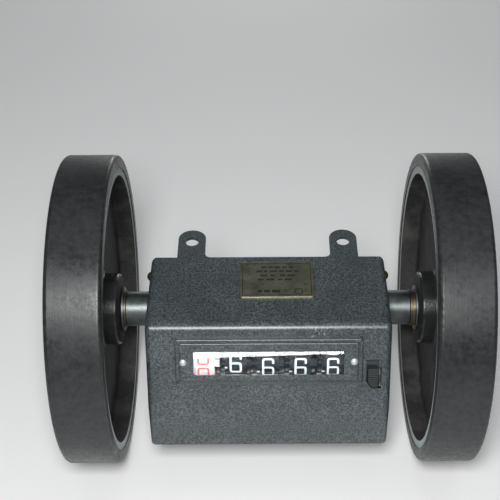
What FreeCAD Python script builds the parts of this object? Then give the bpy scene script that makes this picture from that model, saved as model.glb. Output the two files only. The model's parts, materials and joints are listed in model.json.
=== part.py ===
import FreeCAD, Part
import math
import os

# Roller-type metre counter: a die-cast housing hung by two lugs, with a five-figure counter
# that is driven by two rubber-tyred wheels on one axle.
# Frame: +X along the axle, +Z up, the window looks towards -Y.  Millimetres.
# Places across the axle are written (y, z), and angles there turn from +Y towards +Z.

V = FreeCAD.Vector

# ---- Wheels and axle ----
TURNS_PER_METRE = 3.0
WHEEL_R = 1000.0 / TURNS_PER_METRE / (2.0 * math.pi)
OVERALL_WIDTH = 137.1
TYRE_WIDTH = 17.7
TYRE_SECTION = 4.35
TYRE_EDGE_R = 1.3
RIM_WALL = 2.7
RIM_WIDTH = 17.0
WEB_THICKNESS = 4.5
WEB_INNER_X = 57.5
HUB_R = 12.4
HUB_INNER_X = 51.0
RIM_FILLET = 1.4
AXLE_R = 3.5
JOURNAL_R = 3.0
AXLE_END_X = 68.4
WHEEL_WASHER_R = 6.0
WHEEL_WASHER_T = 1.2
NUT_ACROSS_FLATS = 10.0
NUT_HEIGHT = 5.0

# ---- Housing ----
END_FLOAT = -0.45                      # the housing lies this far along X between the wheels
HOUSING_WIDTH = 80.0
WALL = 2.0
PLATE = 1.5
EDGE_R = 1.8
RIDGE_R = 2.8
TOP_REAR = (9.0, 15.5)
RIDGE = (-25.8, 15.5)
CHIN = (-36.2, -12.5)
FRONT_FOOT = (-37.0, -29.0)
REAR_FOOT = (9.0, -29.0)
OUTLINE = [TOP_REAR, RIDGE, CHIN, FRONT_FOOT, REAR_FOOT]

LUG_PITCH = 52.8
LUG_WIDTH = 9.6
LUG_THICKNESS = 0.9
LUG_HOLE_R = 2.25
LUG_HOLE_Y = 17.6
LUG_ROUND_Y = 19.3
LUG_ROOT_R = 2.0

NAMEPLATE_SIZE = (24.9, 18.2, 0.5)
NAMEPLATE_CENTRE = (2.95, -3.3)

# ---- Window face, measured down the slope from the ridge ----
BEZEL_SIZE = (61.0, 16.2, 1.6)
BEZEL_X = 0.1
BEZEL_SLOPE = 12.15
BEZEL_LIP_WIDTH = 0.75
BEZEL_OUTER_R = 0.5
BEZEL_GROOVE = (0.6, 0.6)              # width, depth
BEZEL_FIELD_R = 0.5
WINDOW_SIZE = (48.9, 8.3)
WINDOW_X = 0.05
WINDOW_SLOPE = 12.57
GLASS_SIZE = (52.2, 12.8, 1.0)
COVER_OPENING = (51.2, 11.6)
RIVET_X = 27.8
RIVET_HEAD = (1.15, 0.55)
RIVET_TAIL = 0.4
RIVET_SHANK_R = 0.7
SLOT_X = 34.35
SLOT_SLOPE = 17.3
SLOT_OUTLINE = [
    (-2.5, 5.1), (1.5, 5.1), (1.5, 3.1), (2.5, 2.1), (2.5, -5.2), (-0.8, -5.2), (-2.5, -2.5),
]

# ---- Inner frame ----
FRAME_INNER_X = 36.6
FRAME_PLATE = 1.2
FRAME_GAP = 0.4
LEVER_NOTCH = (10.0, 10.5)             # length down the slope, depth below the window face
SLEEVE_R = 6.0
SLEEVE_END_X = 48.95
SPIGOT_R = 5.0
BUSH_R = 4.6
BUSH_FLANGE = (6.3, 0.5)
THRUST_WASHER_R = 7.6
THRUST_WASHER_LEFT_X = (-50.55, -50.0)
THRUST_WASHER_RIGHT_X = (50.2, 50.75)
SHIM_R = 6.3
SHIM_X = (49.1, 50.1)
RUNNING = 0.03
SLIP = 0.02
SPACER_R = 1.6
SPACER_SPIGOT_R = 1.0
SPACERS = [(-1.5, 11.3), (-1.5, -25.3), (-22.0, -24.5)]
SIDE_SCREW = (6.0, 9.5)
SCREW_R = 0.95
SCREW_CLEARANCE = 0.15
SIDE_SCREW_HEAD = (1.8, 1.7)
COVER_SCREW_HEAD = (1.9, 1.1)
SCREW_SLOT = (0.45, 0.6)
BLOCK = 6.0
COVER_SCREW_X = 33.6
COVER_SCREW_REAR_Z = -23.5
COVER_SCREW_BOTTOM_Y = -30.0

# ---- Counter ----
NUMBER_WHEELS = 5
NUMBER_WHEEL_R = 13.0
NUMBER_WHEEL_WIDTH = 7.3
NUMBER_WHEEL_PITCH = 10.6
FIRST_WHEEL_X = -21.35
NUMBER_RIM = 1.2
NUMBER_HUB_R = 3.0
NUMBER_SHAFT_R = 1.5
NUMBER_SHAFT_DEPTH = 14.0
CARRY_TEETH = 20
PINION_TEETH = 8
CARRY_MODULE = 1.08
CARRY_ADDENDUM = 0.8
CARRY_THINNING = 0.24
CARRY_GEAR_WIDTH = 1.4
LUG_DISC_R = 5.0
LUG_DISC_WIDTH = 1.6
CARRY_LUG_R = 12.4
CARRY_LUG_WIDTH = 2.5
CARRY_LUG_TURN = 5.0                   # degrees past the window normal
PINION_SHAFT_R = 1.0
PINION_HUB_R = 2.0
PINION_SIDE = -120.0
PINION_GAPS = (0.3, 1.9, 3.0)
PINION_SPACER_R = 1.4

# ---- Drive train ----
DRIVE_MODULE = 0.7
DRIVE_TEETH = 16
IDLER_TEETH = 32
IDLER_PINION_TEETH = 16
COUNT_TEETH = 24
DRIVE_THINNING = 0.12
PRESSURE_ANGLE = math.radians(20.0)
DRIVE_GEAR_X = (-35.6, -33.0)
DRIVE_HUB_X = -28.4
DRIVE_HUB_R = 6.0
GRUB_SCREW_R = 1.25
IDLER_X = (-35.4, -33.2)
IDLER_PINION_X = (-33.2, -29.6)
COUNT_GEAR_X = (-32.4, -29.8)
IDLER_PIN_R = 1.5
IDLER_WASHER_R = 3.0
CLIP_T = 0.4
IDLER_CLIP_R = 2.8
LEVER_CLIP_R = 3.3
COLLAR_R = 2.8
COLLAR_LENGTH = 3.0
COUNT_HUB_R = 5.0

# ---- Reset lever ----
LEVER_X = (31.9, 36.4)
LEVER_R = 22.0
LEVER_HUB_R = 3.2
LEVER_PIN_R = 2.0
THUMB_OUTLINE = [(-1.9, 2.3), (1.25, 2.3), (1.25, -4.6), (-0.6, -4.6), (-1.9, -2.6)]
THUMB_RIB_ANGLE = 2.0
BAIL_X = (28.0, 30.0)
BAIL_R = 1.1
BAIL_CLEARANCE = 1.1
BAIL_HUB_R = 3.0
BAIL_FINGER = (0.9, 1.4)
CRANK_WIDTH = 3.6
LEVER_ARM = 3.0
SHIELD_T = 1.5
THUMB_LIFT = 0.8
RIB_LIFT = 1.2
BAIL_FINGER_R = 13.4
SPRING_WIRE_R = 0.25
SPRING_LEG_R = 0.22
SPRING_TURNS = 2
SPRING_SHORT_LEG = 3.5


# ---- Geometry helpers ----
def cylinder(radius, x0, x1, centre=(0.0, 0.0)):
    """Solid cylinder along X."""
    return Part.makeCylinder(radius, x1 - x0, V(x0, centre[0], centre[1]), V(1, 0, 0))


def tube(outer, inner, x0, x1, centre=(0.0, 0.0)):
    return cylinder(outer, x0, x1, centre).cut(cylinder(inner, x0 - 1, x1 + 1, centre))


def prism(points, x0, x1):
    """Straight-sided solid along X from its corners across X."""
    corners = [V(x0, y, z) for y, z in points]
    return Part.Face(Part.makePolygon(corners + corners[:1])).extrude(V(x1 - x0, 0, 0))


def polar(centre, radius, angle):
    return (centre[0] + radius * math.cos(angle), centre[1] + radius * math.sin(angle))


def direction(a, b):
    """Angle of the line from a to b, and its length."""
    return math.atan2(b[1] - a[1], b[0] - a[0]), math.hypot(b[0] - a[0], b[1] - a[1])


def inset(points, gaps):
    """Corners of a convex outline whose sides move inwards by the given gaps."""
    middle = (sum(p[0] for p in points) / len(points), sum(p[1] for p in points) / len(points))
    sides = []
    for start, end, gap in zip(points, points[1:] + points[:1], gaps):
        angle, _ = direction(start, end)
        normal = (-math.sin(angle), math.cos(angle))
        reach = (middle[0] - start[0]) * normal[0] + (middle[1] - start[1]) * normal[1]
        if reach < 0:
            normal = (-normal[0], -normal[1])
        offset = start[0] * normal[0] + start[1] * normal[1] + gap
        sides.append((normal, offset))
    corners = []
    for (n1, d1), (n2, d2) in zip(sides[-1:] + sides[:-1], sides):
        det = n1[0] * n2[1] - n1[1] * n2[0]
        corners.append(((d1 * n2[1] - d2 * n1[1]) / det, (n1[0] * d2 - n2[0] * d1) / det))
    return corners


def circle_meet(a, ra, b, rb):
    """The lower point that lies ra from a and rb from b."""
    angle, span = direction(a, b)
    turn = math.acos((ra * ra + span * span - rb * rb) / (2 * ra * span))
    return min(polar(a, ra, angle + turn), polar(a, ra, angle - turn), key=lambda p: p[1])


def mirrored(shape):
    return shape.mirror(V(0, 0, 0), V(1, 0, 0))


def rounded_box(size, corner):
    """Plate in the XY plane, centred, with rounded upright edges and its base at z = 0."""
    box = Part.makeBox(size[0], size[1], size[2], V(-size[0] / 2, -size[1] / 2, 0))
    upright = [e for e in box.Edges if abs(e.Vertexes[0].Z - e.Vertexes[1].Z) > size[2] / 2]
    return box.makeFillet(corner, upright)


def round_edges(shape, radius, chosen):
    """Fillet the edges whose midpoint satisfies the test."""
    return shape.makeFillet(radius, [e for e in shape.Edges if chosen(e.CenterOfMass)])


# ---- Places worked out from the dimensions above ----
SLOPE_ANGLE, _ = direction(RIDGE, CHIN)
WINDOW_NORMAL = SLOPE_ANGLE - math.pi / 2
FACE_TILT = math.pi / 2 - (math.pi - WINDOW_NORMAL % (2 * math.pi))


def slope_point(slope, depth=0.0):
    """Point on the window face, or depth below it."""
    on_face = polar(RIDGE, slope, SLOPE_ANGLE)
    return polar(on_face, -depth, WINDOW_NORMAL)


def on_window(shape, x, slope, lift=0.0):
    """Lay a shape on the window face: its Y runs up the slope and its Z stands out."""
    y, z = slope_point(slope, -lift)
    placed = shape.copy()
    placed.Placement = FreeCAD.Placement(V(x, y, z), FreeCAD.Rotation(V(1, 0, 0), math.degrees(FACE_TILT)))
    return placed


NUMBER_AXIS = slope_point(WINDOW_SLOPE, NUMBER_SHAFT_DEPTH)
DRIVE_CENTRES = DRIVE_MODULE * (DRIVE_TEETH + IDLER_TEETH) / 2
COUNT_CENTRES = DRIVE_MODULE * (IDLER_PINION_TEETH + COUNT_TEETH) / 2
IDLER_AXIS = circle_meet((0.0, 0.0), DRIVE_CENTRES, NUMBER_AXIS, COUNT_CENTRES)
CARRY_CENTRES = CARRY_MODULE * (CARRY_TEETH + PINION_TEETH) / 2
PINION_AXIS = polar(NUMBER_AXIS, CARRY_CENTRES, math.radians(PINION_SIDE))
LEVER_AXIS = slope_point(SLOT_SLOPE, LEVER_R)
BAIL_AXIS = polar(NUMBER_AXIS, NUMBER_WHEEL_R + BAIL_R + BAIL_CLEARANCE, math.radians(-80.0))
WHEEL_CENTRES_X = [FIRST_WHEEL_X + i * NUMBER_WHEEL_PITCH for i in range(NUMBER_WHEELS)]
TYRE_OUTER_X = OVERALL_WIDTH / 2
TYRE_INNER_X = TYRE_OUTER_X - TYRE_WIDTH
RIM_R = WHEEL_R - TYRE_SECTION
FRAME_OUTER_X = FRAME_INNER_X + FRAME_PLATE
SIDE_X = HOUSING_WIDTH / 2
CHEEK_X = SIDE_X - WALL


# ---- Gears ----
def involute(angle):
    return math.tan(angle) - angle


def gear(teeth, module, x0, x1, centre, phase, addendum=1.0, thinning=DRIVE_THINNING):
    """Spur gear along X with involute flanks; one tooth points at the phase angle."""
    pitch_r = module * teeth / 2
    base_r = pitch_r * math.cos(PRESSURE_ANGLE)
    tip_r = pitch_r + module * addendum
    root_r = pitch_r - module * 1.2
    flank_r = max(base_r, root_r)
    half_pitch = math.pi / (2 * teeth) - thinning / (2 * pitch_r) + involute(PRESSURE_ANGLE)

    def half_angle(radius):
        return half_pitch - involute(math.acos(min(1.0, base_r / radius)))

    def point(radius, angle):
        y, z = polar(centre, radius, angle)
        return V(x0, y, z)

    edges = []
    step = 2 * math.pi / teeth
    radii = [flank_r, (flank_r + tip_r) / 2, tip_r]
    for i in range(teeth):
        middle = phase + i * step
        rising = [point(r, middle - half_angle(r)) for r in radii]
        falling = [point(r, middle + half_angle(r)) for r in radii]
        root_start = point(root_r, middle - half_angle(flank_r))
        root_end = point(root_r, middle + half_angle(flank_r))
        next_root = point(root_r, middle + step - half_angle(flank_r))
        if root_r < flank_r:
            edges.append(Part.LineSegment(root_start, rising[0]).toShape())
        edges.append(Part.Arc(*rising).toShape())
        edges.append(Part.Arc(rising[2], point(tip_r, middle), falling[2]).toShape())
        edges.append(Part.Arc(falling[2], falling[1], falling[0]).toShape())
        if root_r < flank_r:
            edges.append(Part.LineSegment(falling[0], root_end).toShape())
        edges.append(Part.Arc(root_end, point(root_r, middle + step / 2), next_root).toShape())
    return Part.Face(Part.Wire(edges)).extrude(V(x1 - x0, 0, 0))


# ---- Housing ----
def lug():
    """Flat hanging lug behind the top face, with its hole, about its own centre line."""
    bottom = TOP_REAR[1] - LUG_THICKNESS
    inside = TOP_REAR[0] - WALL
    tongue = Part.makeBox(LUG_WIDTH, LUG_ROUND_Y - inside, LUG_THICKNESS, V(-LUG_WIDTH / 2, inside, bottom))
    tip = Part.makeCylinder(LUG_WIDTH / 2, LUG_THICKNESS, V(0, LUG_ROUND_Y, bottom))
    root = Part.makeBox(LUG_ROOT_R, LUG_ROOT_R, LUG_THICKNESS, V(LUG_WIDTH / 2, TOP_REAR[0], bottom))
    hollow = Part.makeCylinder(
        LUG_ROOT_R, WALL * 2, V(LUG_WIDTH / 2 + LUG_ROOT_R, TOP_REAR[0] + LUG_ROOT_R, bottom - 1)
    )
    hole = Part.makeCylinder(LUG_HOLE_R, WALL * 2, V(0, LUG_HOLE_Y, bottom - 1))
    return tongue.fuse(tip).fuse(root.cut(hollow)).cut(hole).removeSplitter()


def through_window_face(outline, depth=2 * WALL):
    """Cutter with the given outline about the lever slot's centre, across the window face."""
    corners = [V(x, y, -depth) for x, y in outline]
    cutter = Part.Face(Part.makePolygon(corners + corners[:1])).extrude(V(0, 0, depth + 2 * WALL))
    return on_window(cutter, SLOT_X, SLOT_SLOPE)


def is_chin(middle):
    return abs(middle.y - CHIN[0]) + abs(middle.z - CHIN[1]) < 0.01


def housing_cover():
    """Top, window face, front and both cheeks in one casting, open at the back and below."""
    outer = prism(OUTLINE, -SIDE_X, SIDE_X)
    outer = round_edges(outer, RIDGE_R, lambda m: abs(m.y - RIDGE[0]) + abs(m.z - RIDGE[1]) < 0.01)
    outer = round_edges(outer, EDGE_R, lambda m: m.z > REAR_FOOT[1] + 1 and (abs(m.x) > 1 or is_chin(m)))
    hollow = prism(inset(OUTLINE, [WALL, WALL, WALL, -WALL, -WALL]), -CHEEK_X, CHEEK_X)
    shell = outer.cut(hollow)
    right_lug = mirrored(lug())
    right_lug.translate(V(LUG_PITCH / 2, 0, 0))
    shell = shell.fuse([right_lug, mirrored(right_lug)]).removeSplitter()
    opening = Part.makeBox(
        COVER_OPENING[0], COVER_OPENING[1], 4 * WALL,
        V(-COVER_OPENING[0] / 2, -COVER_OPENING[1] / 2, -2 * WALL),
    )
    cuts = [on_window(opening, WINDOW_X, WINDOW_SLOPE), through_window_face(SLOT_OUTLINE)]
    for side in (-1, 1):
        rivet_hole = Part.makeCylinder(RIVET_SHANK_R + SLIP, 4 * WALL, V(0, 0, -2 * WALL))
        cuts.append(on_window(rivet_hole, side * RIVET_X, BEZEL_SLOPE))
    cuts.append(cylinder(SLEEVE_R + 0.2, -SIDE_X - 1, SIDE_X + 1))
    cuts.append(cylinder(SCREW_R + SCREW_CLEARANCE, -SIDE_X - 1, SIDE_X + 1, SIDE_SCREW))
    return shell.cut(cuts)


def cover_screw_places():
    """Centre and outward direction of each screw that holds the rear cover."""
    rear = [(V(s * COVER_SCREW_X, TOP_REAR[0], COVER_SCREW_REAR_Z), V(0, 1, 0)) for s in (-1, 1)]
    below = [(V(s * COVER_SCREW_X, COVER_SCREW_BOTTOM_Y, REAR_FOOT[1]), V(0, 0, -1)) for s in (-1, 1)]
    return rear + below


def rear_cover():
    """Bent plate that closes the back and the bottom."""
    wall = inset(OUTLINE, [WALL + 0.1, WALL, WALL + 0.1, 0, 0])
    inner = inset(OUTLINE, [WALL + 0.1, WALL, WALL + 0.1, PLATE, PLATE])
    half = CHEEK_X - 0.1
    plate = prism([wall[0], wall[4], wall[3], inner[3], inner[4], inner[0]], -half, half)
    plate = round_edges(plate, PLATE + 1.0, lambda m: m.y > 8.9 and m.z < -28.9)
    holes = [
        Part.makeCylinder(SCREW_R + SCREW_CLEARANCE, 4 * PLATE, place - out * 2 * PLATE, out)
        for place, out in cover_screw_places()
    ]
    return plate.cut(holes)


def cover_blocks():
    """Tapped blocks riveted to the frame plates, which take the rear cover's screws."""
    blocks = []
    for place, out in cover_screw_places():
        side = 1 if place.x > 0 else -1
        centre = place - out * (PLATE + BLOCK / 2)
        centre.x = side * (FRAME_INNER_X - BLOCK / 2)
        block = Part.makeBox(BLOCK, BLOCK, BLOCK, centre - V(BLOCK, BLOCK, BLOCK) / 2)
        hole = Part.makeCylinder(SCREW_R, 4 * BLOCK, place - out * 2 * BLOCK, out)
        blocks.append(block.cut(hole))
    return Part.makeCompound(blocks)


def dome(place, out, head):
    """Round head of a screw or rivet, standing on the place."""
    head_r, head_h = head
    dome_r = (head_r ** 2 + head_h ** 2) / (2 * head_h)
    ball = Part.makeSphere(dome_r, place + out * (head_h - dome_r))
    return ball.common(Part.makeCylinder(head_r, head_h, place, out))


def dome_screw(place, out, length, head):
    """Slotted round-headed screw: head outside the place, shank going in against out."""
    shank = Part.makeCylinder(SCREW_R, length, place, -out)
    width, depth = SCREW_SLOT
    slot = Part.makeBox(4 * head[0], width, head[1], V(-2 * head[0], -width / 2, head[1] - depth))
    slot.Placement = FreeCAD.Placement(place, FreeCAD.Rotation(V(0, 0, 1), out))
    return dome(place, out, head).fuse(shank).cut(slot)


def rear_cover_screws():
    screws = [
        dome_screw(place, out, PLATE + BLOCK - 1, COVER_SCREW_HEAD)
        for place, out in cover_screw_places()
    ]
    return Part.makeCompound(screws)


def side_screws():
    """Brass screws that hold the cheeks to the frame plates."""
    length = SIDE_X - FRAME_INNER_X + 1.5
    screws = [
        dome_screw(V(s * SIDE_X, *SIDE_SCREW), V(s, 0, 0), length, SIDE_SCREW_HEAD)
        for s in (-1, 1)
    ]
    return Part.makeCompound(screws)


def window_bezel():
    """Raised frame with a grooved border around the window, and a pocket behind it for the glass."""
    length, height, thickness = BEZEL_SIZE
    groove, depth = BEZEL_GROOVE
    outer = 2 * BEZEL_LIP_WIDTH
    inner = outer + 2 * groove
    frame = rounded_box(BEZEL_SIZE, 1.0)
    frame = round_edges(frame, BEZEL_OUTER_R, lambda m: m.z > thickness - 0.01)
    field = rounded_box((length - inner, height - inner, depth), 0.6)
    field = round_edges(field, BEZEL_FIELD_R, lambda m: m.z > depth - 0.01)
    channel = rounded_box((length - outer, height - outer, depth), 0.8).cut(field)
    channel.translate(V(0, 0, thickness - depth))
    frame = frame.cut(channel)
    window_y = BEZEL_SLOPE - WINDOW_SLOPE
    sight = rounded_box((WINDOW_SIZE[0], WINDOW_SIZE[1], 4.0), 0.5)
    sight.translate(V(WINDOW_X - BEZEL_X, window_y, -1))
    pocket = rounded_box((GLASS_SIZE[0] + 0.2, GLASS_SIZE[1] + 0.2, GLASS_SIZE[2] + 0.05), 0.5)
    pocket.translate(V(WINDOW_X - BEZEL_X, window_y, 0))
    holes = [
        Part.makeCylinder(RIVET_SHANK_R + SLIP, 4, V(s * RIVET_X - BEZEL_X, 0, -1)) for s in (-1, 1)
    ]
    frame = frame.cut([sight, pocket] + holes)
    return on_window(frame, BEZEL_X, BEZEL_SLOPE)


def window_glass():
    return on_window(rounded_box(GLASS_SIZE, 0.4), WINDOW_X, WINDOW_SLOPE)


def bezel_rivets():
    rivets = []
    for side in (-1, 1):
        head = dome(V(0, 0, BEZEL_SIZE[2]), V(0, 0, 1), RIVET_HEAD)
        shank = Part.makeCylinder(RIVET_SHANK_R, BEZEL_SIZE[2] + WALL + 0.2, V(0, 0, -WALL))
        tail = Part.makeCylinder(RIVET_HEAD[0], RIVET_TAIL, V(0, 0, -WALL - RIVET_TAIL))
        rivet = head.fuse([shank, tail]).removeSplitter()
        rivets.append(on_window(rivet, side * RIVET_X, BEZEL_SLOPE))
    return Part.makeCompound(rivets)


def nameplate():
    plate = rounded_box(NAMEPLATE_SIZE, 0.8)
    plate = round_edges(plate, 0.15, lambda m: m.z > NAMEPLATE_SIZE[2] - 0.01)
    plate.translate(V(NAMEPLATE_CENTRE[0], NAMEPLATE_CENTRE[1], TOP_REAR[1]))
    return plate


# ---- Inner frame ----
def frame_plate(side):
    """Side plate that carries every shaft; side is -1 on the left and 1 on the right."""
    gap = FRAME_GAP
    outline = inset(OUTLINE, [WALL + gap, WALL + gap, WALL + gap, PLATE + gap, PLATE + gap])
    x0, x1 = sorted((side * FRAME_INNER_X, side * FRAME_OUTER_X))
    plate = prism(outline, x0, x1)
    plate = round_edges(plate, 2.0, lambda m: abs(abs(m.x) - FRAME_INNER_X - FRAME_PLATE / 2) < 0.01)
    holes = [(SPIGOT_R, (0.0, 0.0)), (SCREW_R, SIDE_SCREW)]
    holes += [(SPACER_SPIGOT_R, place) for place in SPACERS]
    holes += [(NUMBER_SHAFT_R, NUMBER_AXIS), (PINION_SHAFT_R, PINION_AXIS)]
    holes.append((IDLER_PIN_R, IDLER_AXIS) if side < 0 else (LEVER_PIN_R, LEVER_AXIS))
    cuts = [cylinder(r, x0 - 1, x1 + 1, place) for r, place in holes]
    if side > 0:
        length, depth = LEVER_NOTCH
        notch = Part.makeBox(4 * FRAME_PLATE, length, depth, V(-2 * FRAME_PLATE, -length / 2, -depth))
        cuts.append(on_window(notch, FRAME_INNER_X, SLOT_SLOPE))
    return plate.cut(cuts)


def frame_spacers():
    rods = []
    for place in SPACERS:
        rod = cylinder(SPACER_R, -FRAME_INNER_X, FRAME_INNER_X, place)
        rods.append(rod.fuse(cylinder(SPACER_SPIGOT_R, -FRAME_OUTER_X, FRAME_OUTER_X, place)))
    return Part.makeCompound(rods)


def bearing_sleeve():
    """Steel nose on the right frame plate, through the cheek, that holds the bush."""
    nose = cylinder(SLEEVE_R, FRAME_OUTER_X, SLEEVE_END_X)
    nose = nose.makeChamfer(0.3, [e for e in nose.Edges if e.CenterOfMass.x > SLEEVE_END_X - 0.01])
    nose = nose.fuse(cylinder(SPIGOT_R, FRAME_INNER_X, FRAME_OUTER_X))
    return nose.cut(cylinder(BUSH_R, 0, SLEEVE_END_X + 1)).removeSplitter()


def bush():
    """Flanged bronze bush for the right end of the axle."""
    flange_r, flange_t = BUSH_FLANGE
    body = cylinder(BUSH_R, FRAME_INNER_X, SLEEVE_END_X)
    body = body.fuse(cylinder(flange_r, SLEEVE_END_X, SLEEVE_END_X + flange_t))
    return body.cut(cylinder(AXLE_R + RUNNING, 0, SLEEVE_END_X + 2)).removeSplitter()


# ---- Axle and wheels ----
def axle():
    shaft = cylinder(AXLE_R, -HUB_INNER_X, HUB_INNER_X)
    shaft = shaft.fuse(cylinder(JOURNAL_R, -AXLE_END_X, AXLE_END_X)).removeSplitter()
    return shaft.makeChamfer(0.5, [e for e in shaft.Edges if abs(e.CenterOfMass.x) > AXLE_END_X - 0.01])


def wheel():
    """Dished right-hand wheel: hub, web and rim band."""
    rim_x = TYRE_INNER_X + (TYRE_WIDTH - RIM_WIDTH) / 2
    web_outer_x = WEB_INNER_X + WEB_THICKNESS
    band = tube(RIM_R, RIM_R - RIM_WALL, rim_x, rim_x + RIM_WIDTH)
    web = cylinder(RIM_R - RIM_WALL, WEB_INNER_X, web_outer_x)
    hub = cylinder(HUB_R, HUB_INNER_X, web_outer_x)
    body = band.fuse([web, hub]).removeSplitter()
    corners = [
        e for e in body.Edges
        if e.Curve.TypeId == "Part::GeomCircle" and e.CenterOfMass.x < WEB_INNER_X + 0.01
        and e.Curve.Radius < RIM_R - 0.01 and abs(e.CenterOfMass.x - rim_x) > 0.01
    ]
    body = body.makeFillet(RIM_FILLET, corners)
    return body.cut(cylinder(JOURNAL_R + SLIP, 0, AXLE_END_X))


def tyre():
    tread = cylinder(WHEEL_R, TYRE_INNER_X, TYRE_OUTER_X)
    corners = [e for e in tread.Edges if e.Closed]
    return tread.makeFillet(TYRE_EDGE_R, corners).cut(cylinder(RIM_R, 0, TYRE_OUTER_X + 1))


def thrust_washer(span):
    return tube(THRUST_WASHER_R, AXLE_R + SLIP, *span)


def brass_shim():
    """Shim that takes up the end float on the right."""
    return tube(SHIM_R, AXLE_R + SLIP, *SHIM_X)


def wheel_washer():
    x0 = WEB_INNER_X + WEB_THICKNESS
    return tube(WHEEL_WASHER_R, JOURNAL_R + 0.2, x0, x0 + WHEEL_WASHER_T)


def wheel_nut():
    x0 = WEB_INNER_X + WEB_THICKNESS + WHEEL_WASHER_T
    across_corners = NUT_ACROSS_FLATS / math.cos(math.pi / 6)
    corners = [polar((0.0, 0.0), across_corners / 2, i * math.pi / 3) for i in range(6)]
    hexagon = prism(corners, x0, x0 + NUT_HEIGHT)
    barrel = cylinder(across_corners / 2 - 0.1, x0, x0 + NUT_HEIGHT)
    ends = [e for e in barrel.Edges if e.Curve.TypeId == "Part::GeomCircle"]
    nut = hexagon.common(barrel.makeChamfer(0.4, ends))
    return nut.cut(cylinder(JOURNAL_R + SLIP, x0 - 1, x0 + NUT_HEIGHT + 1))


# ---- Drive train ----
def drive_gear():
    """Gear on the axle, with a collar for its grub screw."""
    phase, _ = direction((0.0, 0.0), IDLER_AXIS)
    body = gear(DRIVE_TEETH, DRIVE_MODULE, *DRIVE_GEAR_X, (0.0, 0.0), phase)
    body = body.fuse(cylinder(DRIVE_HUB_R, DRIVE_GEAR_X[1], DRIVE_HUB_X))
    body = body.cut(cylinder(AXLE_R + SLIP, DRIVE_GEAR_X[0] - 1, DRIVE_HUB_X + 1))
    middle = (DRIVE_GEAR_X[1] + DRIVE_HUB_X) / 2
    return body.cut(Part.makeCylinder(GRUB_SCREW_R, DRIVE_HUB_R + 2, V(middle, 0, 0), V(0, 0, 1)))


def drive_gear_screw():
    """Grub screw that bears on the axle and ends just below the collar's surface."""
    middle = (DRIVE_GEAR_X[1] + DRIVE_HUB_X) / 2
    start = AXLE_R + SLIP
    length = DRIVE_HUB_R - 0.5 - start
    return Part.makeCylinder(GRUB_SCREW_R - SLIP, length, V(middle, 0, start), V(0, 0, 1))


def idler_gear():
    """Double gear: the large one is driven by the axle, the small one drives the counter."""
    from_axle, _ = direction(IDLER_AXIS, (0.0, 0.0))
    to_count, _ = direction(IDLER_AXIS, NUMBER_AXIS)
    large = gear(
        IDLER_TEETH, DRIVE_MODULE, *IDLER_X, IDLER_AXIS, from_axle + math.pi / IDLER_TEETH
    )
    small = gear(IDLER_PINION_TEETH, DRIVE_MODULE, *IDLER_PINION_X, IDLER_AXIS, to_count)
    bore = cylinder(IDLER_PIN_R + RUNNING, IDLER_X[0] - 1, IDLER_PINION_X[1] + 1, IDLER_AXIS)
    return large.fuse(small).cut(bore)


def idler_pin():
    return cylinder(IDLER_PIN_R, -FRAME_OUTER_X, IDLER_PINION_X[1] + 0.8, IDLER_AXIS)


def idler_clip():
    end = IDLER_PINION_X[1]
    return tube(IDLER_CLIP_R, IDLER_PIN_R, end + 0.2, end + 0.2 + CLIP_T, IDLER_AXIS)


def idler_washer():
    return tube(IDLER_WASHER_R, IDLER_PIN_R + SLIP, -FRAME_INNER_X, IDLER_X[0] - 0.1, IDLER_AXIS)


def count_gear():
    """Gear fixed to the side of the first number wheel."""
    from_idler, _ = direction(NUMBER_AXIS, IDLER_AXIS)
    phase = from_idler + math.pi / COUNT_TEETH
    body = gear(COUNT_TEETH, DRIVE_MODULE, *COUNT_GEAR_X, NUMBER_AXIS, phase)
    hub_end = WHEEL_CENTRES_X[0] - NUMBER_WHEEL_WIDTH / 2 - CARRY_GEAR_WIDTH
    body = body.fuse(cylinder(COUNT_HUB_R, COUNT_GEAR_X[1], hub_end, NUMBER_AXIS))
    bore = cylinder(NUMBER_SHAFT_R + RUNNING, COUNT_GEAR_X[0] - 1, hub_end + 1, NUMBER_AXIS)
    return body.cut(bore)


# ---- Counter ----
def number_shaft():
    return cylinder(NUMBER_SHAFT_R, -FRAME_OUTER_X, FRAME_OUTER_X, NUMBER_AXIS)


def number_wheel(index):
    """Number wheel: rim, web, hub, carry gear on its left and carry lug on its right."""
    left = WHEEL_CENTRES_X[index] - NUMBER_WHEEL_WIDTH / 2
    right = left + NUMBER_WHEEL_WIDTH
    rim_inner = NUMBER_WHEEL_R - NUMBER_RIM
    body = tube(NUMBER_WHEEL_R, rim_inner, left, right, NUMBER_AXIS)
    web = cylinder(rim_inner, left, left + NUMBER_RIM, NUMBER_AXIS)
    hub = cylinder(NUMBER_HUB_R, left - CARRY_GEAR_WIDTH, right, NUMBER_AXIS)
    pieces = [web, hub]
    if index > 0:
        phase, _ = direction(NUMBER_AXIS, PINION_AXIS)
        pieces.append(gear(
            CARRY_TEETH, CARRY_MODULE, left - CARRY_GEAR_WIDTH, left, NUMBER_AXIS, phase,
            CARRY_ADDENDUM, CARRY_THINNING,
        ))
    if index < NUMBER_WHEELS - 1:
        pieces.append(carry_lug(right))
    bore = cylinder(NUMBER_SHAFT_R + RUNNING, left - 5, right + 5, NUMBER_AXIS)
    return body.fuse(pieces).cut(bore)


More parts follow.
